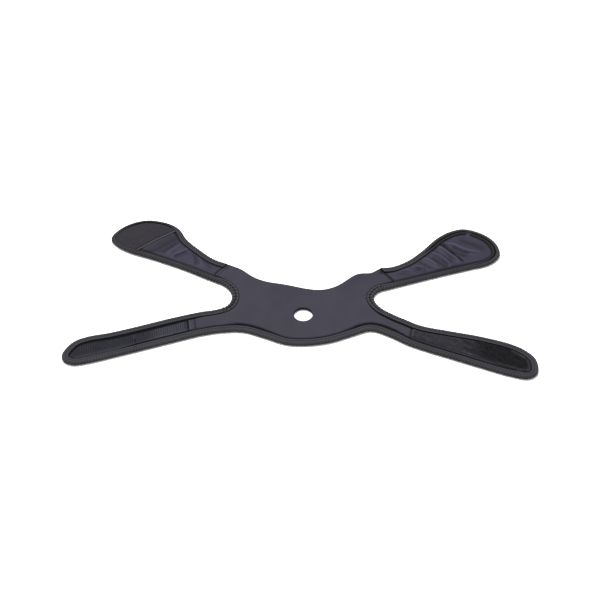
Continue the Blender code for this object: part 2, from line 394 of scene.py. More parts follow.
def inside(points, loops):
    """Which plan points lie inside the outlines, by counting crossings to the right."""
    odd = np.zeros(len(points), bool)
    x, y = points[:, 0], points[:, 1]
    for loop in loops:
        for (x0, y0), (x1, y1) in zip(loop, np.roll(loop, -1, axis=0)):
            spans = (y0 > y) != (y1 > y)
            odd[spans] ^= x[spans] < x0 + (y[spans] - y0) * (x1 - x0) / (y1 - y0)
    return odd


def slab(plan, triangles, top, bottom):
    """A closed layer over a plan triangulation, from the bottom heights to the top heights."""
    count = len(plan)
    edges = {(a, b) for tri in triangles.tolist() for a, b in zip(tri, tri[1:] + tri[:1])}
    rim = sorted((a, b) for a, b in edges if (b, a) not in edges)
    points = np.vstack([np.column_stack([plan, top]), np.column_stack([plan, bottom])])
    faces = triangles.tolist()
    faces += (triangles[:, ::-1] + count).tolist()
    faces += [(b, a, a + count, b + count) for a, b in rim]
    return points, faces


def tubes(paths, across, radius, corners):
    """Closed tubes along many short paths, each of which bends in the plane square to its across vector."""
    count, steps, _ = paths.shape
    side_way = unit(across[:, None, :])
    third = np.cross(unit(np.gradient(paths, axis=1)), side_way)
    angles = np.arange(corners) * 2 * np.pi / corners
    ring = np.cos(angles)[:, None] * side_way[:, :, None, :] + np.sin(angles)[:, None] * third[:, :, None, :]
    points = (paths[:, :, None, :] + radius * ring).reshape(-1, 3)
    ids = np.arange(count * steps * corners).reshape(count, steps, corners)
    here, there = ids[:, :-1], ids[:, 1:]
    quads = np.stack([here, np.roll(here, -1, axis=2), np.roll(there, -1, axis=2), there], axis=-1)
    caps = [*ids[:, 0, ::-1].tolist(), *ids[:, -1].tolist()]
    return points, quads.reshape(-1, 4).tolist() + caps


def fold_into(body):
    """The fold that carries a body."""
    return next(joint for joint in frame["joints"] if joint["child"] == body)


def attach(piece, body):
    """Join a piece of the centre panel to its body; a limb's piece stays where it is made, fixed in the
    world.
    """
    if body == "centre_panel":
        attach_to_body(piece, body)
        return
    joint = fold_into(body)
    start = Vector(joint["pos_m"])
    axis = Vector(joint["axis"])
    onward = axis.cross(Vector((0, 0, 1)))
    middle = Vector((*(node_points(f"{body}_foam_core")[:, :2].mean(axis=0) * MM), start.z))
    if (middle - start).dot(onward) < 0:
        onward = -onward
    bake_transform(piece)


def add_object(name, data):
    """A new object in the scene."""
    made = bpy.data.objects.new(name, data)
    bpy.context.scene.collection.objects.link(made)
    return made


def make_piece(name, shape, body, slot, replaces=(), tone=1.0):
    """Make a mesh object from millimetre points, keep its rest place and tone, and join it to its body if
    that is the centre panel.
    """
    points, faces = shape
    mesh = bpy.data.meshes.new(name)
    mesh.from_pydata((points * MM).tolist(), [], faces)
    mesh.materials.append(MATERIALS[slot])
    rest = mesh.attributes.new("rest", "FLOAT_VECTOR", "POINT")
    rest.data.foreach_set("vector", points.astype(np.float32).ravel())
    # the tone carries the painted shade and painted highlights of the piece
    tones = mesh.attributes.new("tone", "FLOAT", "POINT")
    tones.data.foreach_set("value", np.broadcast_to(np.float32(tone), len(points)))
    mesh.shade_smooth()
    mesh.set_sharp_from_angle(angle=math.radians(SHARP_ANGLE))
    piece = add_object(name, mesh)
    attach(piece, body)
    if replaces:
        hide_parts(*replaces)
    return piece


# -------- materials

# a wave texture of this scale has one band to a millimetre
WAVE_SCALE = 0.314


class Tree:
    """A material's node tree, with short ways to add nodes and read values in millimetres."""

    def __init__(self, name):
        self.material = bpy.data.materials.new(name)
        self.material.use_nodes = True
        self.nodes = self.material.node_tree.nodes
        self.links = self.material.node_tree.links
        self.shader = self.nodes["Principled BSDF"]
        self.place = self.attribute("rest", "Vector")

    def put(self, value, socket):
        """Link a socket, or set a constant."""
        if isinstance(value, bpy.types.NodeSocket):
            self.links.new(value, socket)
        else:
            socket.default_value = value

    def add(self, kind, settings, inputs, output=0):
        """A node with its settings and inputs, and one of its outputs."""
        node = self.nodes.new(kind)
        for key, value in settings.items():
            setattr(node, key, value)
        for key, value in inputs.items():
            self.put(value, node.inputs[key])
        return node.outputs[output]

    def attribute(self, name, output="Fac"):
        """An attribute that the mesh keeps."""
        return self.add("ShaderNodeAttribute", {"attribute_name": name}, {}, output)

    def noise(self, per_mm, detail, roughness):
        """Noise over the piece at rest."""
        inputs = {"Vector": self.place, "Scale": per_mm, "Detail": detail, "Roughness": roughness}
        return self.add("ShaderNodeTexNoise", {}, inputs)

    def product(self, first, second):
        """Two values multiplied."""
        return self.add("ShaderNodeMath", {"operation": "MULTIPLY"}, {0: first, 1: second})

    def spread(self, value, from_low, from_high, to_low, to_high):
        """A value taken from one range to another, and held at its ends."""
        inputs = {
            "Value": value, "From Min": from_low, "From Max": from_high, "To Min": to_low, "To Max": to_high,
        }
        return self.add("ShaderNodeMapRange", {}, inputs)

    def mixed(self, blend, share, first, second):
        """Two colours mixed by a share of the second."""
        settings = {"data_type": "RGBA", "blend_type": blend}
        return self.add("ShaderNodeMix", settings, {"Factor": share, 6: first, 7: second}, 2)

    def dimmed(self, colour, factor):
        """A colour times a grey factor."""
        grey = self.add("ShaderNodeCombineColor", {}, {"Red": factor, "Green": factor, "Blue": factor})
        return self.mixed("MULTIPLY", 1.0, colour, grey)

    def bump(self, height, distance_mm, normal=None):
        """A normal that follows a height, on top of another normal if there is one."""
        inputs = {"Height": height, "Distance": distance_mm * MM, "Strength": 1.0}
        if normal:
            inputs["Normal"] = normal
        return self.add("ShaderNodeBump", {}, inputs)

    def knit(self, pitch):
        """The small raised loops of a knitted face, at a pitch in millimetres."""
        bands = []
        for way, density in (("X", 1.0), ("Y", 1.3)):
            scale = WAVE_SCALE / pitch * density
            inputs = {"Vector": self.place, "Scale": scale, "Distortion": 0.6, "Detail": 1.0}
            bands.append(self.add("ShaderNodeTexWave", {"bands_direction": way}, inputs))
        return self.product(*bands)


def cloth_material(name, colour, other, roughness, knit_pitch, knit_depth, sheen, patch_mm, gloss):
    """A knitted cloth: two close colours in soft patches, a fine knit, and the tone kept in the mesh, which
    carries painted shade and painted highlights.
    """
    tree = Tree(name)
    patches = tree.noise(1 / patch_mm, 4.0, 0.55)
    share = tree.spread(patches, 0.3, 0.7, 0.0, 1.0)
    base = tree.mixed("MIX", share, (*colour, 1.0), (*other, 1.0))
    knit = tree.knit(knit_pitch)
    fuzz = tree.noise(1.6, 3.0, 0.6)
    shade = tree.product(tree.spread(knit, 0.0, 0.8, 0.86, 1.10), tree.spread(fuzz, 0.3, 0.7, 0.92, 1.08))
    base = tree.dimmed(base, tree.product(shade, tree.attribute("tone")))
    tree.put(base, tree.shader.inputs["Base Color"])
    rough = tree.spread(fuzz, 0.3, 0.7, roughness - 0.05, roughness + 0.05)
    tree.put(rough, tree.shader.inputs["Roughness"])
    normal = tree.bump(fuzz, knit_depth)
    tree.put(tree.bump(knit, knit_depth, normal), tree.shader.inputs["Normal"])
    tree.shader.inputs["Sheen Weight"].default_value = sheen
    tree.shader.inputs["Sheen Roughness"].default_value = 0.45
    tree.shader.inputs["Specular IOR Level"].default_value = gloss
    return tree.material


# each cloth's two colours, and then its roughness, knit pitch and depth, sheen, patch size and gloss
CLOTHS = {
    "neoprene_face": ((0.0318, 0.0298, 0.0408), (0.0358, 0.0336, 0.0451), 0.85, 0.8, 0.05, 0.05, 26.0, 0.04),
    "backing_jersey": ((0.020, 0.019, 0.026), (0.025, 0.024, 0.031), 0.88, 0.9, 0.07, 0.06, 26.0, 0.15),
    "foam": ((0.0068, 0.0068, 0.0075), (0.0095, 0.0095, 0.0102), 0.95, 0.5, 0.05, 0.0, 26.0, 0.15),
    "binding_tape": ((0.0292, 0.0282, 0.0328), (0.0348, 0.0338, 0.0388), 0.75, 0.6, 0.05, 0.04, 14.0, 0.05),
    "stretch_fabric": ((0.0194, 0.0174, 0.0306), (0.0247, 0.0222, 0.0370), 0.5, 0.5, 0.03, 0.02, 20.0, 0.09),
    "hook_tape": ((0.0118, 0.0122, 0.0168), (0.0150, 0.0154, 0.0205), 0.5, 0.7, 0.05, 0.0, 18.0, 0.06),
    "loop_tape": ((0.0125, 0.0118, 0.0142), (0.0190, 0.0180, 0.0208), 0.92, 0.9, 0.10, 0.06, 7.0, 0.03),
    "pile_patch": ((0.0330, 0.0310, 0.0372), (0.0370, 0.0350, 0.0412), 0.95, 0.9, 0.10, 0.05, 12.0, 0.03),
}
MATERIALS = {name: cloth_material(name, *look) for name, look in CLOTHS.items()}


# -------- heights of the layers

FACE_LOW = 3.9
FACE_THICK = 0.5
SKIN = 0.05
BACKING_LOW = 0.7
BACKING_THICK = 0.55
SEAM_ROWS = (4.5, 8.2, 9.1, 9.7, 10.4, 11.1, 11.8, 12.5, 13.3)
ROW_SLACK = 0.15
LATTICE_FROM = 14.2
# painted shade: the darkest tone of the gap beside the bindings, of the lining under them and of the tape's
# inner faces
GAP_SHADE_TONE = 0.10

# the cloth is held down up to the first inset, and takes its waves and creases in full from the second
OPEN_CLOTH = (9.8, 14.0)

# the lining is painted with shade beside the tape, from the second inset outwards
LINING_GAP = (11.0, 9.8)

# how wide the slope is that comes up out of the gap beside the tape, and where it starts from the gap's edge
CLOTH_SLOPE = 2.2
SLOPE_START = -0.6

# the front right strap's cloth, and the painted shade in the groove beside its loop tape: tone, half-width
# and darkness
STRAP_TONE = 0.85
GROOVE_WIDTH = 0.9
GROOVE_DARK = 0.85

# low waves in the open cloth, and how its raw rear edge and the hole's edge are rounded: depth and reach
WAVE_LENGTH = 26.0
WAVE_HEIGHT = 0.12
RAW_ROUNDING = (0.45, 0.8)
HOLE_ROUNDING = (0.40, 0.9)

# the cloth's full height on each body: lower under the tapes and the patch, and in thin stretch cloth
FULL_HEIGHT = {
    "centre_panel": 5.15,
    "rear_left_arm": 4.9, "rear_left_tab": 4.5, "rear_right_arm": 4.9, "rear_right_tab": 4.9,
    "front_left_strap": 4.5, "front_left_tab": 4.5, "front_right_strap": 4.6, "front_right_tab": 4.6,
}

# lines in the cloth, each with its half-width, its rise or dip, and its tone, which is painted shade in the
# dips and a painted highlight on the ridges: those as strong at their ends
SEAMS = [
    # the sewn roots of the rear arms, and the line of stitches beside the left one
    ([(105, 55.5), (114, 44.6), (123, 34)], 2.4, -1.6, 0.03),
    ([(-112, 53), (-121, 40.6), (-127, 32)], 1.5, -1.2, 0.30),
    ([(-107.5, 50.5), (-117, 37.5), (-123, 29)], 1.0, -0.5, 0.65),
    # the sewn ends of the front straps' tapes
    ([(-146.5, -51), (-140.2, -89)], 1.4, -0.7, 0.20),
    ([(149.6, -55), (144.6, -91)], 1.6, -0.7, 0.10),
    # the rear right tab's fold, and the slack hollow beside the patch on the rear left arm
    ([(186, 113), (193, 106), (204, 94)], 2.7, -2.0, 0.03),
    ([(-182, 110), (-200, 94), (-220, 78.5)], 8.0, -1.8, 0.46),
]

# and those that fade towards both ends
CREASES = [
    # the rear right arm and tab: the end of the fold, and the pulled folds that fan out beside it
    ([(200, 98.5), (210, 87.5), (222, 74)], 1.8, -1.8, 0.06),
    ([(182, 107), (198, 92), (216, 74)], 2.3, 2.8, 2.0),
    ([(171, 91), (186, 85), (202, 70)], 2.5, 2.9, 1.85),
    ([(175, 82), (188, 73.5), (201, 64)], 3.2, -2.0, 0.46),
    ([(180, 96), (193, 86), (206, 76)], 2.6, -1.4, 0.62),
    ([(163, 80), (173, 75), (186, 64)], 2.3, 2.2, 1.65),
    ([(158, 72), (168, 68), (178, 60)], 2.8, -1.6, 0.60),
    ([(149, 62), (158, 62), (167, 56)], 2.0, 1.8, 1.75),
    ([(153, 57.5), (163, 57.5), (171, 55)], 2.2, -1.3, 0.64),
    ([(131, 53), (141, 55), (152, 52)], 2.0, 1.4, 1.50),
    ([(128, 47), (140, 49), (150, 47.5)], 2.4, -1.1, 0.75),
    ([(192, 112), (206, 107), (219, 99), (231, 95), (249, 93)], 2.8, 3.0, 1.85),
    ([(201, 103), (214, 93.5), (229, 88.5)], 4.5, -1.8, 0.58),
    ([(213, 121), (234, 112), (254, 102)], 7.0, -1.6, 0.62),
    # the rear left arm: two pulled folds, and creases towards the root
    ([(-179, 101), (-190, 89), (-204, 75)], 2.6, -1.4, 0.50),
    ([(-174, 94), (-184, 84), (-195, 73)], 2.6, 1.7, 1.50),
    ([(-162, 86), (-173, 78), (-188, 69)], 2.2, 2.4, 1.90),
    ([(-164, 79), (-175, 73), (-185, 66)], 2.2, -1.0, 0.74),
    ([(-158, 77), (-153, 65), (-152, 52)], 1.8, -1.3, 0.66),
    ([(-150, 72), (-146, 62), (-143, 51)], 2.4, 1.2, 1.50),
    ([(-142, 66), (-135, 57), (-131, 47)], 2.2, -1.0, 0.70),
    ([(-136, 63), (-125, 56), (-115, 54)], 3.6, -1.7, 0.50),
]


def nearness(plan, path, width, fades):
    """1 on a path through plan points, falling to 0 beside it, and thinning out to its ends if it fades."""
    curve = smooth(np.array(path, float))
    near = np.zeros(len(plan))
    low, high = curve.min(axis=0) - 3 * width, curve.max(axis=0) + 3 * width
    around = np.all((plan > low) & (plan < high), axis=1)
    if around.any():
        gap, index = distances(plan[around], tree_of(curve))
        near[around] = np.exp(-(gap / width) ** 2)
        if fades:
            share = index / (len(curve) - 1)
            near[around] *= ease(0, 0.3, share + 0.06) * ease(1, 0.7, share - 0.06)
    return near


# the width of the tape's upper leaf: least on the far side of the rear left tab, where it is drawn under,
# narrow on the near sides of the rear arms, and most on the far side of the rear right tab
LEAF = along_walk([
    (0.8, 1.0), (1.0, 0.8), (1.14, 0.4), (1.42, 0.4), (1.6, 0.58), (2.95, 0.66), (3.2, 1.0), (7.95, 1.0),
    (8.2, 0.9), (9.2, 0.9), (9.4, 1.0), (11.8, 1.0), (12.1, 0.68), (12.5, 0.60), (12.9, 0.60), (13.1, 0.78),
    (13.3, 1.14), (14.15, 1.16), (14.4, 1.0),
])

# how far the gap beside the binding, with its dip and its painted shade, reaches into the cloth
GAP_REACH = along_walk([
    (1.9, 1.8), (2.02, 3.0), (2.15, 2.6), (2.4, 1.0), (3.0, 0.9), (3.3, 0.7), (3.8, 0.9), (4.0, 2.6),
    (4.15, 5.5), (5.4, 5.0), (5.7, 1.6), (6.0, 3.0), (7.0, 2.6), (7.14, 2.4), (7.2, 4.6), (7.3, 4.4),
    (7.4, 2.3), (7.68, 2.3), (7.76, 4.6), (7.9, 4.6), (7.97, 3.0), (9.2, 2.2), (9.4, 1.4), (9.9, 1.8),
    (10.9, 2.8), (11.2, 3.0), (11.4, 2.4), (11.6, 0.8), (11.9, 1.2), (12.4, 1.0), (12.55, 2.4), (12.8, 2.6),
    (12.95, 1.0), (13.15, 0.8), (13.3, 1.9), (13.55, 2.2), (13.8, 2.0), (14.3, 1.8),
])

# the insets of the tapes and patches, and the slack between the pile patch and the narrow leaf of its binding
HOOK_INSET = along_walk([
    (4, 12.6), (4.3, 14.2), (5.1, 14.4), (5.45, 12.2), (5.6, 9.6), (5.9, 9.6), (6.1, 11.6), (7, 11.8),
])
LOOP_INSET = along_walk([(8, 15.0), (9.15, 14.8), (9.4, 10.6), (9.6, 10.2), (10, 11.0), (11, 11.6)])
PATCH_SLACK = along_walk([(1.0, 0.0), (1.12, 2.0), (1.42, 2.0), (1.6, 0.4), (1.8, 0.0)])
PATCH_INSET = BINDING_WIDTH * LEAF + 0.7 + PATCH_SLACK
UNDER_INSET = 13.0

# where the cover of the rear right tab is pinched up across the gap: its place and half-length on the walk,
# and its reach across the gap, its height and its inset
PINCH_SHARE = 13.68
PINCH_LENGTH = 0.022
PINCH_REACH = 3.0
PINCH_HEIGHT = 1.2
PINCH_INSET = 11.0
PINCH = np.exp(-((WALK_SHARE - PINCH_SHARE) / PINCH_LENGTH) ** 2)


def rounded(gap, depth, reach):
    """How far the cloth turns down at a distance from a cut edge."""
    return depth * np.exp(-gap / reach)


def cloth_surface(body, plan):
    """The height of the top cloth and its tone: held down at the bindings, full between them, and creased,
    with painted shade in the gap beside the bindings and in the dips, and painted highlights on the ridges.
    """
    inset, nearest = nearest_walk(plan, body)
    full = np.full(len(plan), FULL_HEIGHT[body])
    if body.endswith("strap"):
        root = fold_distance(plan, fold_into(body)["name"])
        full += (FULL_HEIGHT["centre_panel"] - full) * ease(3.0, 0.0, root)
    gap = BINDING_WIDTH * np.maximum(LEAF[nearest], 1) + GAP_REACH[nearest] - PINCH_REACH * PINCH[nearest]
    height = FACE_LOW + (full - FACE_LOW) * ease(0.0, CLOTH_SLOPE, inset - gap - SLOPE_START)
    height += PINCH_HEIGHT * PINCH[nearest] * np.exp(-((inset - PINCH_INSET) / PINCH_REACH) ** 2)
    open_cloth = ease(*OPEN_CLOTH, inset)
    raw = distances(plan, REAR_TREE)[0]
    hole = np.linalg.norm(plan - HOLE_CENTRE, axis=1) - HOLE_RADIUS
    rounding = rounded(raw, *RAW_ROUNDING) + rounded(hole, *HOLE_ROUNDING)
    height += (WAVE_HEIGHT * ripple(plan, WAVE_LENGTH, 5) - rounding) * open_cloth
    # painted shade in the gap beside the binding, darker in the notches
    tone = 1 - (1 - GAP_SHADE_TONE - 0.25 * NOTCH[nearest]) * ease(0.5, -0.4, inset - gap)
    if body.startswith("front_right"):
        margin = LOOP_INSET[nearest]
        # painted shade in the groove beside the loop tape
        groove = np.exp(-((inset - margin + GROOVE_WIDTH) / GROOVE_WIDTH) ** 2) * (margin > 12)
        tone *= STRAP_TONE * (1 - GROOVE_DARK * groove)
    if not body.endswith("strap"):
        for lines, fades in ((SEAMS, False), (CREASES, True)):
            for path, width, rise, shade in lines:
                near = nearness(plan, path, width, fades)
                height += rise * near * open_cloth
                # painted shade along the dips and painted highlights along the ridges
                tone *= 1 + (shade - 1) * near
    return height, tone


def closed_outline(parts):
    """Sides joined by straight fold edges, without doubled corners."""
    points = []
    for part, following in zip(parts, parts[1:] + parts[:1]):
        points.append(part)
        edge = following[0] - part[-1]
        length = np.linalg.norm(edge)
        if length > FACE_SPACING:
            count = max(round(length / FACE_SPACING), 2)
            points.append(part[-1] + edge * (np.arange(1, count) / count)[:, None])
    loop = np.vstack(points)
    keep = np.linalg.norm(np.roll(loop, -1, axis=0) - loop, axis=1) > 0.01
    return loop[keep]


def body_plan(body, spacing):
    """A body's cloth outlines and plan mesh, with rows of points beside the bindings, where it is steep."""
    parts = [side(index, SEAM_ALLOWANCE, spacing) for index in BODY_STRETCHES[body]]
    loops = [closed_outline(parts)]
    if body == "centre_panel":
        loops = [closed_outline(parts + [REAR_EDGE[::3]]), HOLE]
    rows = []
    for index in BODY_STRETCHES[body]:
        for inset in SEAM_ROWS:
            row = side(index, inset, spacing)[1:-1]
            rows.append(row[np.abs(nearest_walk(row)[0] - inset) < ROW_SLACK])
    return loops, *filled(loops, spacing, rows, LATTICE_FROM)


def make_layers(body, cover, slot):
    """The face or cover, the foam and the backing of one body."""
    loops, plan, triangles = body_plan(body, FACE_SPACING)
    height, tone = cloth_surface(body, plan)
    top = height + lift(plan)
    shape = slab(plan, triangles, top, top - FACE_THICK)
    face = make_piece(f"{body}_cloth", shape, body, slot, [f"{body}_{cover}"], np.tile(tone, 2))

    _, plan, triangles = body_plan(body, INNER_SPACING)
    inset = nearest_walk(plan, body)[0]
    rise = lift(plan)
    low = BACKING_LOW + rise
    # painted shade on the lining beside the tape
    tone = 1 - (1 - GAP_SHADE_TONE) * ease(*LINING_GAP, inset)
    lining_shape = slab(plan, triangles, low + BACKING_THICK, low)
    lining = make_piece(
        f"{body}_lining", lining_shape, body, "backing_jersey", [f"{body}_backing"], np.tile(tone, 2))
    under = cloth_surface(body, plan)[0] + rise - FACE_THICK - SKIN
    foam_shape = slab(plan, triangles, under, low + BACKING_THICK + SKIN)
    foam = make_piece(f"{body}_foam", foam_shape, body, "foam", [f"{body}_foam_core"])
    for piece in (face, lining):
        declare_sheet(loops)


def declare_sheet(loops):
    """Find the least rectangle round a layer's outer outline, in turns of 3 degrees; the result is not kept.
    """
    outline = loops[0]
    best = None
    for angle in np.radians(np.arange(0, 90, 3)):
        turn = np.array([[math.cos(angle), -math.sin(angle)], [math.sin(angle), math.cos(angle)]])
        width, length = np.ptp(outline @ turn, axis=0)
        if best is None or width * length < best[0] * best[1]:
            best = (width, length)


# -------- bindings

# the tape's outer face, from its upper inner edge over the rim to its lower inner edge: inset and height
TAPE_PROFILE = np.array([
    (9.0, 4.70), (8.9, 5.05), (8.5, 5.30), (7.6, 5.46), (6.6, 5.48), (5.9, 5.34), (5.5, 5.16), (5.1, 5.20),
    (4.6, 5.48), (3.8, 5.72), (2.9, 5.78), (2.0, 5.64), (1.25, 5.25), (0.65, 4.65), (0.25, 3.9), (0.06, 3.0),
    (0.10, 2.1), (0.4, 1.3), (0.95, 0.65), (1.8, 0.2), (3.0, 0.02), (4.6, 0.05), (5.3, 0.3), (6.0, 0.05),
    (8.4, 0.05), (9.0, 0.25),
])
TAPE_NORMALS = unit(np.gradient(TAPE_PROFILE, axis=0))[:, ::-1] * (1, -1)
TAPE_THICK = 0.5

# rows of the profile: the stitches, the last one that is drawn in with the upper leaf, the rim, and the
# middle of the ribs and how far they spread
STITCH_ROW = 6
LAST_LEAF_ROW = 10
RIM_ROW = 15
RIB_ROW = 11
RIB_SPREAD = 5.5
RIB_PITCH = 4.4
RIB_LEAN = 0.16
RIB_HEIGHT = 0.27
PUCKER_PITCH = 4.6
PUCKER_HEIGHT = 0.70
STATION_GAP = 0.6

# the lowest and highest tone of the ribs, painted shade in their furrows and painted highlight on their tops:
# inside the line of stitches, just outside it, and round the rim
RIB_TONES = [(0.92, 1.06), (0.78, 1.04), (0.30, 1.16)]

# the shade on the rows beside the line of stitches, where the tape sinks in deeply
GROOVE_SHADE = {1: 0.2, 2: 0.4, 3: 0.5, 4: 0.9, 5: 0.95}

# the painted shade on the tape's raw edges, on the row beside its upper one, and on its under leaf, which
# faces down
EDGE_TONE = 0.15
EDGE_ROW_TONE = 0.6
UNDER_TONE = 0.75


def wandering(seed, size):
    """A slow random drift along the walk, for ribs and puckers that aren't evenly spaced."""
    return evened(np.cumsum(np.random.default_rng(seed).normal(0, size, len(WALK))), 41)


RIB_DRIFT = wandering(3, 0.10)

# the gathered puckers along the tape, from 0 to 1
PUCKERS = np.abs(np.sin(np.pi * WALK_ARC / PUCKER_PITCH + wandering(4, 0.13)))

# how strong the ribs are: most on the rear left arm, and faint where the front edge and its strap lie smooth
RIB_STRENGTH = (1 + 0.4 * np.sin(WALK_ARC / 23.0) * np.sin(WALK_ARC / 37.0 + 1.0)) * along_walk([
    (0, 0.9), (1, 0.8), (1.4, 1.0), (1.6, 1.5), (2, 1.4), (2.2, 1.1), (3.2, 1.1), (4.2, 0.7), (6.0, 0.65),
    (6.3, 0.45), (7.9, 0.45), (8.1, 0.85), (9.3, 0.85), (9.8, 0.7), (11, 0.8), (12, 0.75),
])

# the tape sinks in deeply along the far side of the rear right tab, and its stitches do so in the notches too
FAR_GROOVE = along_walk([(12.95, 0.0), (13.2, 1.0), (14.15, 1.0), (14.38, 0.0)]) * (1 - 0.6 * PINCH)
STITCH_DEPTH = np.maximum(FAR_GROOVE, 0.85 * NOTCH)
STITCH_SINK = 0.9


def rib_wave(row):
    """The ribs across one row of the profile, from 0 between them to 1 on them. They lean along the tape."""
    return np.abs(np.sin(np.pi * WALK_ARC / RIB_PITCH + RIB_DRIFT + RIB_LEAN * (row - STITCH_ROW)))


def binding_relief(row):
    """How far one row of the profile stands out along the walk, for the ribs and the gathered puckers."""
    rim = math.exp(-((row - RIB_ROW) / RIB_SPREAD) ** 2)
    flat_part = 0.3 if row < STITCH_ROW else 0.15
    ribs = RIB_HEIGHT * RIB_STRENGTH * (2 * rib_wave(row) - 1) * max(rim, flat_part)
    return ribs + PUCKER_HEIGHT * NOTCH * (2 * PUCKERS - 1) * max(rim, 0.4)


def binding_tone(row):
    """The painted light and shade of one row of the profile: light rib tops and shaded furrows outside the
    stitches, and painted shade in the stitches, at its edges and under its rim.
    """
    furrows = (1 - rib_wave(row) ** 0.7) * RIB_STRENGTH
    low, high = RIB_TONES[int(row > STITCH_ROW) + int(row > STITCH_ROW + 3)]
    # painted highlight on the tops of the puckers in the notches, and painted shade between them
    painted_shading = (high - (high - low) * furrows) * (1 - NOTCH * (0.45 - 0.85 * PUCKERS))
    if row in (0, len(TAPE_PROFILE) - 1):
        return EDGE_TONE * painted_shading
    if row == 1:
        painted_shading = EDGE_ROW_TONE * painted_shading
    if row in GROOVE_SHADE:
        painted_shading = painted_shading * (1 - GROOVE_SHADE[row] * FAR_GROOVE)
    if abs(row - STITCH_ROW) <= 1:
        painted_shading = (painted_shading + (0.9 - painted_shading) * STITCH_DEPTH) * (0.72 - 0.68 * STITCH_DEPTH)
    if row == STITCH_ROW + 2:
        painted_shading = painted_shading * (1 - 0.5 * STITCH_DEPTH)
    return painted_shading * (UNDER_TONE if row >= RIM_ROW else 1.0)


def binding_shape(index):
    """A tape folded round the edge, with the cross ribs and puckers of a stretched binding, and its tones."""
    count = round(stretch_length(index) / STATION_GAP) + 1
    rise = lift(WALK)
    rows, inner_rows, tones = [], [], []
    for row, ((inset, height), (out_inset, out_height)) in enumerate(zip(TAPE_PROFILE, TAPE_NORMALS)):
        drawn_in = inset * LEAF if row <= LAST_LEAF_ROW else inset
        relief = binding_relief(row)
        sunk = STITCH_SINK * STITCH_DEPTH * math.exp(-((row - STITCH_ROW) / 1.2) ** 2)
        tall = height + out_height * relief + rise - sunk
        rows.append(strip(index, drawn_in + out_inset * relief, tall, count))
        tones.append(strip(index, inset, binding_tone(row), count)[:, 2])
        under = height - out_height * TAPE_THICK + rise
        if row < RIM_ROW:
            under = under - STITCH_SINK * STITCH_DEPTH
        inner_rows.append(strip(index, drawn_in - out_inset * TAPE_THICK, under, count))
    rows += inner_rows[::-1]
    # painted shade on the tape's inner faces
    tones += [np.full(count, GAP_SHADE_TONE)] * len(inner_rows)
    rings = len(rows)
    faces = []
    for ring in range(rings):
        first, second = ring * count, (ring + 1) % rings * count
        faces += [(first + i, second + i, second + i + 1, first + i + 1) for i in range(count - 1)]
    for end in (0, count - 1):
        for ring in range(len(TAPE_PROFILE) - 1):
            corners = (ring, ring + 1, rings - 2 - ring, rings - 1 - ring)
            face = [corner * count + end for corner in corners]
            faces.append(face if end else face[::-1])
    return (np.vstack(rows), faces), np.concatenate(tones)


def make_binding(index, body, node):
    """One stretch of binding."""
    shape, tone = binding_shape(index)
    piece = make_piece(node.replace("_binding", "_tape"), shape, body, "binding_tape", [node], tone)


STITCH_LENGTH = 2.3
STITCH_PITCH = 3.1
STITCH_RISE = 0.32
STITCH_START = -0.12
THREAD = 0.19
THREAD_CORNERS = 6
THREAD_TONE = 0.62
SUNK_SHADE = 0.55

# the inset and the height of the stitches on the underside
UNDER_STITCH = (5.3, 0.42)


def stitches(row, way):
    """The paths of stitches along a curve in space: short threads that come out of the cloth, up or down."""
    arc = arc_along(row)
    starts = np.arange(0.5, arc[-1] - STITCH_LENGTH - 0.3, STITCH_PITCH)
    share = np.linspace(0, 1, 6)
    places = starts[:, None] + share * STITCH_LENGTH
    paths = np.stack([np.interp(places, arc, row[:, axis]) for axis in range(3)], axis=-1)
    paths[..., 2] += way * (STITCH_RISE * np.sin(np.pi * share) + STITCH_START)
    return paths


def make_stitches(index, body, node):
    """The seam that holds one stretch of binding, seen on its upper side and on its underside."""
    rise = lift(WALK)
    inset, height = TAPE_PROFILE[STITCH_ROW]
    count = round(stretch_length(index)) + 1
    upper = strip(index, inset * LEAF, height - STITCH_SINK * STITCH_DEPTH + rise, count)
    lower = strip(index, UNDER_STITCH[0], UNDER_STITCH[1] + rise, count)
    threads = [stitches(upper, 1), stitches(lower, -1)]
    paths = np.concatenate(threads)
    along = paths[:, -1, :2] - paths[:, 0, :2]
    across = np.column_stack([-along[:, 1], along[:, 0], np.zeros(len(along))])
    points, faces = tubes(paths, across, THREAD, THREAD_CORNERS)
    above = np.repeat([1.0, 0.0], [len(some) * len(points) // len(paths) for some in threads])
    tone = THREAD_TONE - SUNK_SHADE * above * STITCH_DEPTH[nearest_walk(points)[1]]
    make_piece(node.replace("_binding", "_stitches"), (points, faces), body, "binding_tape", tone=tone)


def make_bindings():
    """Every stretch of binding, with its stitches."""
    for index, (body, node) in enumerate(BINDINGS):
        make_binding(index, body, node)
        make_stitches(index, body, node)


# -------- tapes, patches and their hooks and loops

TUFT_TONE = 0.9
TAPE_TOP = 5.35
TAPE_UNDER = 4.75
HOOK_RIB_PITCH = 3.0
HOOK_RIB_WAY = np.array([0.9872, 0.1595])
SELVAGE = 5.0
HEM = 3.6
PILE_PITCH = 0.95


def hook_margins(plan):
    """How far plan points are in the hook tape's plain selvage, on its front side, or in its hem."""
    inset, nearest = nearest_walk(plan)
    front = (WALK_SHARE[nearest] > 5.6) * ease(9.1 + SELVAGE + 0.8, 9.1 + SELVAGE - 0.8, inset)
    return front, ease(1.9, 1.1, fold_distance(plan, "front_left_root_fold"))


def hook_ribs(plan):
    """The cross ribs that carry the hooks, from -1 to 1, and 0 in the plain margins."""
    ribs = np.cos(2 * np.pi * (plan @ HOOK_RIB_WAY) / HOOK_RIB_PITCH)
    return ribs * (1 - np.clip(sum(hook_margins(plan)), 0, 1))


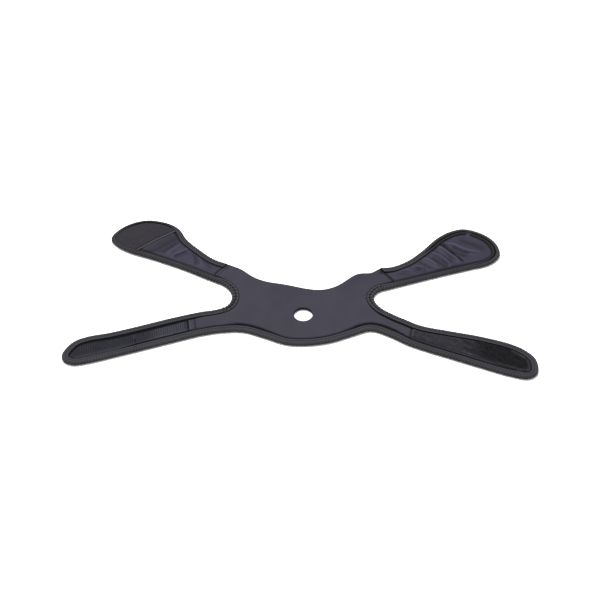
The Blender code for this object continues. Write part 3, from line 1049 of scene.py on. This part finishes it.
def hook_height(plan):
    """Cross ribs, with a plain selvage on the front side and a raised hem at the root fold."""
    return TAPE_TOP + 0.42 * hook_ribs(plan) + 0.35 * hook_margins(plan)[1] + 0.12 * ripple(plan, 22, 11)


def hook_tone(plan):
    """Ribs with painted highlights on them and painted shade between, lighter near the root, where the raised
    turned edge has a painted highlight and a painted shade line beside it.
    """
    root = fold_distance(plan, "front_left_root_fold")
    tone = 1.1 * (1 + 0.8 * hook_ribs(plan)) * (1 + 1.1 * ease(70, 30, root) * ease(2, 12, root))
    return tone * (1 + 2.4 * ease(1.6, 1.0, root)) * (1 - 0.8 * np.exp(-((root - 3.0) / 1.1) ** 2))


def loop_height(plan):
    """A matted, slightly uneven pile, with a hem at the root fold."""
    hem = ease(HEM + 0.5, HEM - 0.5, fold_distance(plan, "front_right_root_fold"))
    return TAPE_TOP + 0.12 * ripple(plan, 6, 21) + 0.14 * ripple(plan, 17, 22) + 0.3 * hem


def loop_tone(plan):
    """Darker towards the tip, with a painted highlight on the raised hem at the root, and a lighter turned
    edge along the front side and round the tip.
    """
    root = fold_distance(plan, "front_right_root_fold")
    tone = (1.85 - 1.2 * ease(55, 108, root)) * (1 + 0.22 * ripple(plan, 9, 23))
    inset, nearest = nearest_walk(plan)
    share = WALK_SHARE[nearest]
    inward = inset - np.interp(share, np.arange(len(WALK_CUTS)), LOOP_INSET[WALK_CUTS])
    turned = (share > 8.0) * (share < 9.75) * ease(1.7, 1.0, inward) * ease(60, 90, root)
    return tone * (1 + 0.7 * ease(1.6, 0.9, root)) * (1 + 1.6 * turned)


def patch_height(plan):
    """A short even pile, with a hem along the mid fold."""
    hem = ease(2.6, 1.6, fold_distance(plan, "rear_left_mid_fold"))
    return TAPE_TOP + 0.08 * ripple(plan, 7, 31) + 0.10 * ripple(plan, 25, 32) + 0.7 * hem


def patch_tone(plan):
    """Even, with a painted highlight on the raised turned edge along the mid fold and a painted shade line
    beside it.
    """
    fold = fold_distance(plan, "rear_left_mid_fold")
    return (1 + 1.1 * ease(1.6, 1.0, fold)) * (1 - 0.6 * np.exp(-((fold - 3.0) / 0.9) ** 2))


def tape_loop(body, inset):
    """The plan outline of a piece that follows the bindings of its body at an inset."""
    return closed_outline([side(index, inset) for index in BODY_STRETCHES[body]])


def tape_slab(loop, height, under):
    """A thin closed piece with rolled edges, whose upper side follows a height, and its plan points."""
    plan, triangles = filled([loop], TAPE_SPACING)
    edge = distances(plan, tree_of(np.vstack([loop, (loop + np.roll(loop, -1, axis=0)) / 2])))[0]
    rise = lift(plan)
    top = height(plan) - 0.4 * np.exp(-edge / 0.5) + rise
    return slab(plan, triangles, top, np.minimum(under + rise, top - 0.2)), plan


def scatter(loop, pitch, margin, seed, way, jitter):
    """Places in rows inside an outline, each moved a little at random."""
    way = unit(np.array(way))
    turn = np.column_stack([way, (-way[1], way[0])])
    turned = loop @ turn
    rows = [
        np.arange(math.floor(low / step) * step, high, step)
        for low, high, step in zip(turned.min(axis=0), turned.max(axis=0), pitch)
    ]
    places = np.stack(np.meshgrid(*rows), axis=-1).reshape(-1, 2) @ turn.T
    places = places[inside(places, [loop])]
    places = places[distances(places, tree_of(loop))[0] > margin]
    draw = np.random.default_rng(seed)
    return places + draw.normal(0, jitter, places.shape) * min(pitch)


HOOK_SHAPE = np.array([(0.0, -0.15), (0.0, 0.35), (0.06, 0.62), (0.22, 0.76), (0.40, 0.70), (0.47, 0.52)])
LOOP_SHAPE = np.array([(-0.5, -0.1), (-0.36, 0.34), (0.0, 0.5), (0.36, 0.34), (0.5, -0.1)])


def bristles(places, base, shape, headings, sizes, radius, corners):
    """One small tube for each place: a plane outline stood up at a heading, and scaled by a size."""
    heading = np.column_stack([np.cos(headings), np.sin(headings), np.zeros(len(places))])
    foot = np.column_stack([places, base])
    outward = shape[:, 0][None, :, None] * heading[:, None, :]
    upward = shape[:, 1][None, :, None] * np.array([0.0, 0.0, 1.0])
    paths = foot[:, None, :] + (outward + upward) * sizes[:, None, None]
    across = np.column_stack([-heading[:, 1], heading[:, 0], heading[:, 2]])
    return tubes(paths, across, radius, corners)


def hooks(loop, height, seed, scale=1.0, facing=1.0):
    """Rows of bent hooks on a tape."""
    places = scatter(loop, (HOOK_RIB_PITCH, 1.3), 1.2, seed, HOOK_RIB_WAY, 0.08)
    if facing > 0:
        places = places[sum(hook_margins(places)) < 0.5]
    draw = np.random.default_rng(seed + 1)
    headings = np.arctan2(HOOK_RIB_WAY[1], HOOK_RIB_WAY[0]) + draw.normal(0, 0.2, len(places))
    headings += np.pi * (draw.random(len(places)) < 0.5)
    sizes = scale * draw.uniform(0.85, 1.1, len(places))
    shape = HOOK_SHAPE * np.array([1.0, facing])
    return bristles(places, height(places), shape, headings, sizes, 0.12 * scale, 4)


def pile(loop, height, seed):
    """A mat of small loops."""
    places = scatter(loop, (PILE_PITCH, PILE_PITCH), 0.8, seed, (1.0, 0.3), 0.3)
    draw = np.random.default_rng(seed + 1)
    headings = draw.uniform(0, 2 * np.pi, len(places))
    sizes = draw.uniform(0.7, 1.2, len(places))
    return bristles(places, height(places), LOOP_SHAPE, headings, sizes, 0.10, 3)


TAPE_KINDS = {
    "hook_tape": (HOOK_INSET, hook_height, hook_tone, hooks),
    "loop_tape": (LOOP_INSET, loop_height, loop_tone, pile),
    "pile_patch": (PATCH_INSET, patch_height, patch_tone, pile),
}


def make_tape(name, body, slot, seed):
    """A fastening piece on top of the wrap, with its own hooks or loops."""
    inset, height, shade, fastening = TAPE_KINDS[slot]
    loop = tape_loop(body, inset)
    shape, plan = tape_slab(loop, height, TAPE_UNDER)
    tape = make_piece(f"{name}_strip", shape, body, slot, [name], np.tile(shade(plan), 2))
    tufts = fastening(loop, lambda places: height(places) + lift(places), seed)
    tone = TUFT_TONE * shade(tufts[0][:, :2])
    mat = make_piece(f"{name}_{fastening.__name__}", tufts, body, slot, tone=tone)
    declare_sheet([loop])


def make_under_patch():
    """The hook patch under the rear right tab, on the lining."""
    body = "rear_right_tab"
    loop = tape_loop(body, UNDER_INSET)
    plan, triangles = filled([loop], UNDER_SPACING)
    rise = lift(plan)
    shape = slab(plan, triangles, BACKING_LOW - SKIN + rise, 0.32 + rise)
    patch = make_piece("under_hook_patch_strip", shape, body, "hook_tape", ["under_hook_patch"])
    small = hooks(loop, lambda places: 0.36 + lift(places), 71, 0.36, -1.0)
    mat = make_piece("under_hook_patch_hooks", small, body, "hook_tape")
    declare_sheet([loop])


def make_tapes():
    """The hook tape, the loop tape and the two patches."""
    make_tape("hook_tape_inner", "front_left_strap", "hook_tape", 41)
    make_tape("hook_tape_outer", "front_left_tab", "hook_tape", 43)
    make_tape("loop_tape_inner", "front_right_strap", "loop_tape", 45)
    make_tape("loop_tape_outer", "front_right_tab", "loop_tape", 47)
    make_tape("pile_patch", "rear_left_tab", "pile_patch", 49)
    make_under_patch()


# -------- the scene

CAMERA_TARGET = Vector((-4.3, -10.2, 5.5)) * MM
CAMERA_DISTANCE = 3.287
CAMERA_AZIMUTH = math.radians(2.5)
CAMERA_ELEVATION = math.radians(45.0)
LENS = 144.0
SENSOR = 36.0

# in metres: the floor lies a little below the wrap, so that the two never touch
FLOOR_REACH = 6.0
FLOOR_HEIGHT = -0.0006
KEY_PLACE = Vector((-0.5, 0.9, 3.0))
KEY_SIZE = 1.8
KEY_POWER = 150.0
SURROUND = 0.75


def aim(thing, way):
    """Turn a camera or a light to look along a direction."""
    thing.rotation_mode = "QUATERNION"
    thing.rotation_quaternion = way.to_track_quat("-Z", "Y")


def make_camera():
    """The photo's own view: nearly from the front and half way up, through a long lens."""
    camera = add_object("camera", bpy.data.cameras.new("camera"))
    camera.data.lens = LENS
    camera.data.sensor_width = SENSOR
    back = Vector((
        math.sin(CAMERA_AZIMUTH) * math.cos(CAMERA_ELEVATION),
        -math.cos(CAMERA_AZIMUTH) * math.cos(CAMERA_ELEVATION),
        math.sin(CAMERA_ELEVATION),
    ))
    camera.location = CAMERA_TARGET + back * CAMERA_DISTANCE
    aim(camera, -back)
    bpy.context.scene.camera = camera


def make_floor():
    """A wide white floor."""
    mesh = bpy.data.meshes.new("floor")
    turns = ((-1, -1), (1, -1), (1, 1), (-1, 1))
    corners = [(x * FLOOR_REACH, y * FLOOR_REACH, FLOOR_HEIGHT) for x, y in turns]
    mesh.from_pydata(corners, [], [(0, 1, 2, 3)])
    material = bpy.data.materials.new("floor")
    material.use_nodes = True
    shader = material.node_tree.nodes["Principled BSDF"]
    shader.inputs["Base Color"].default_value = (0.95, 0.95, 0.95, 1.0)
    shader.inputs["Roughness"].default_value = 1.0
    shader.inputs["Specular IOR Level"].default_value = 0.0
    mesh.materials.append(material)
    add_object("floor", mesh)


def make_lights():
    """A white surround, and one soft light high up behind the wrap."""
    world = bpy.data.worlds.new("studio")
    world.use_nodes = True
    background = world.node_tree.nodes["Background"]
    background.inputs["Color"].default_value = (1.0, 1.0, 1.0, 1.0)
    background.inputs["Strength"].default_value = SURROUND
    bpy.context.scene.world = world
    light = bpy.data.lights.new("key", "AREA")
    light.shape = "DISK"
    light.size = KEY_SIZE
    light.energy = KEY_POWER
    key = add_object("key", light)
    key.location = KEY_PLACE
    aim(key, -KEY_PLACE)
    bpy.context.scene.view_settings.view_transform = "Standard"


def main():
    """Everything in the picture."""
    make_camera()
    for inner, outer, corner in LIMBS:
        rear = corner.startswith("rear")
        cover, slot = ("stretch_cover", "stretch_fabric") if rear else ("face_fabric", "neoprene_face")
        make_layers(inner, cover, slot)
        make_layers(outer, cover, slot)
    make_layers("centre_panel", "face_fabric", "neoprene_face")
    make_bindings()
    make_tapes()
    make_floor()
    make_lights()


main()
